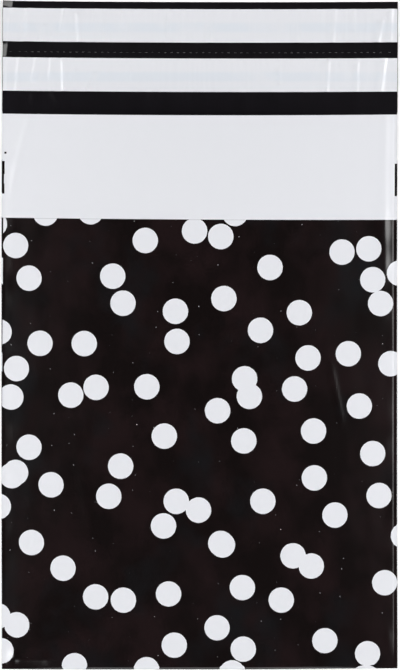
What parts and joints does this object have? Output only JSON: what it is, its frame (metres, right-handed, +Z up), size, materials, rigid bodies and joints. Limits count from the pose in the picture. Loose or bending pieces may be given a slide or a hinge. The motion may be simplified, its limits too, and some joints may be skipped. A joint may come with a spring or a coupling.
{
  "type": "poly mailer bag",
  "caption": "Flat film mailing bag with an open pocket, welded sides, and a flap whose peel-off seals lie either side of a tear line; black with white dots.",
  "frame": {"origin": "on the floor, under the middle of the bag as it lies flat and open", "axes": "+Z up out of the bag's back panel, +Y along the bag from the bottom fold to the flap's edge, X across its width"},
  "size_m": [0.25, 0.42, 0.0081],
  "materials": {
    "mailer_film": "satin blown film, black inside, white outside with black ink",
    "release_liner": "glossy siliconised film",
    "seal_adhesive": "clear hot melt"
  },
  "bodies": {
    "root": {"bag_film": "mailer_film", "first_seal_adhesive": "seal_adhesive", "first_seal_liner": "release_liner", "return_seal_adhesive": "seal_adhesive", "return_seal_liner": "release_liner"}
  },
  "joints": []
}
